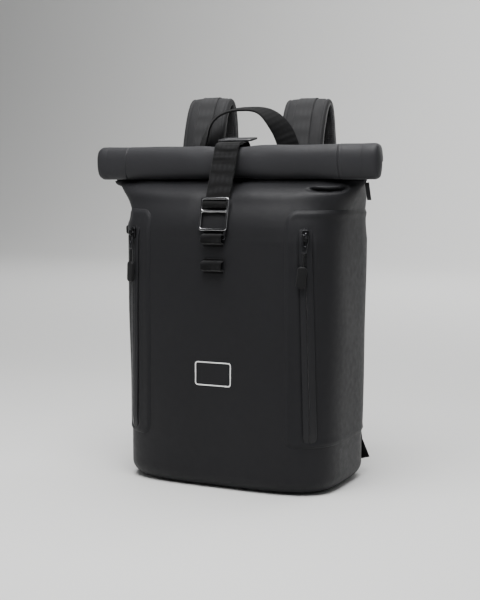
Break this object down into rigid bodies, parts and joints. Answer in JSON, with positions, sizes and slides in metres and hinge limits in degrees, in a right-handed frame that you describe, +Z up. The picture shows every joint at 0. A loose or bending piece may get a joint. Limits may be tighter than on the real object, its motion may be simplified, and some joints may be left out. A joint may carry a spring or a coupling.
{
  "type": "rolltop backpack",
  "caption": "Upright rolltop backpack of coated cloth with a strap and hook buckle over the roll, front zips, grab handle and padded shoulder straps",
  "frame": {"origin": "on the floor under the middle of the flat base, at the mount base", "axes": "+Z up, the front faces -Y, +X to the right as seen from the front"},
  "size_m": [0.396, 0.2407, 0.5095],
  "materials": {
    "coated_cloth": "matte charcoal coated cloth",
    "panel_cloth": "matte charcoal coated cloth, welded",
    "zip_tape": "smooth coated zip tape",
    "webbing": "woven black webbing",
    "strap_cloth": "padded strap cloth",
    "spacer_mesh": "black spacer mesh",
    "gunmetal": "gunmetal with bright edges",
    "black_metal": "dark plated metal",
    "rubber": "moulded matte rubber",
    "plastic": "black moulded plastic"
  },
  "bodies": {
    "bag": {"body_shell": "coated_cloth", "rolled_top": "coated_cloth", "closing_strap": "webbing", "strap_slider": "black_metal", "hook_buckle": "gunmetal", "webbing_loop_upper": "webbing", "webbing_loop_lower": "webbing", "back_panel": "spacer_mesh", "grab_handle": "webbing", "side_tab": "webbing", "side_loop": "webbing", "pocket_panel_right": "panel_cloth", "pocket_panel_left": "panel_cloth", "zip_tape_right": "zip_tape", "zip_tape_left": "zip_tape", "zip_slider_right": "black_metal", "zip_slider_left": "black_metal", "shoulder_strap_right": "strap_cloth", "shoulder_strap_left": "strap_cloth", "strap_webbing_right": "webbing", "strap_webbing_left": "webbing", "strap_adjuster_right": "plastic", "strap_adjuster_left": "plastic", "lower_webbing_right": "webbing", "lower_webbing_left": "webbing", "anchor_tab_right": "webbing", "anchor_tab_left": "webbing"},
    "right_pull": {"zip_pull_right": "gunmetal", "pull_grip_right": "rubber"},
    "left_pull": {"zip_pull_left": "gunmetal", "pull_grip_left": "rubber"}
  },
  "joints": [
    {"name": "right_pull_swing", "type": "hinge", "parent": "bag", "child": "right_pull", "pos_m": [0.12398, -0.09202, 0.3285], "axis": [-0.9004, -0.4351, 0], "range_deg": [0, 165]},
    {"name": "left_pull_swing", "type": "hinge", "parent": "bag", "child": "left_pull", "pos_m": [-0.12398, -0.09202, 0.3285], "axis": [-0.9004, 0.4351, 0], "range_deg": [0, 165]}
  ]
}
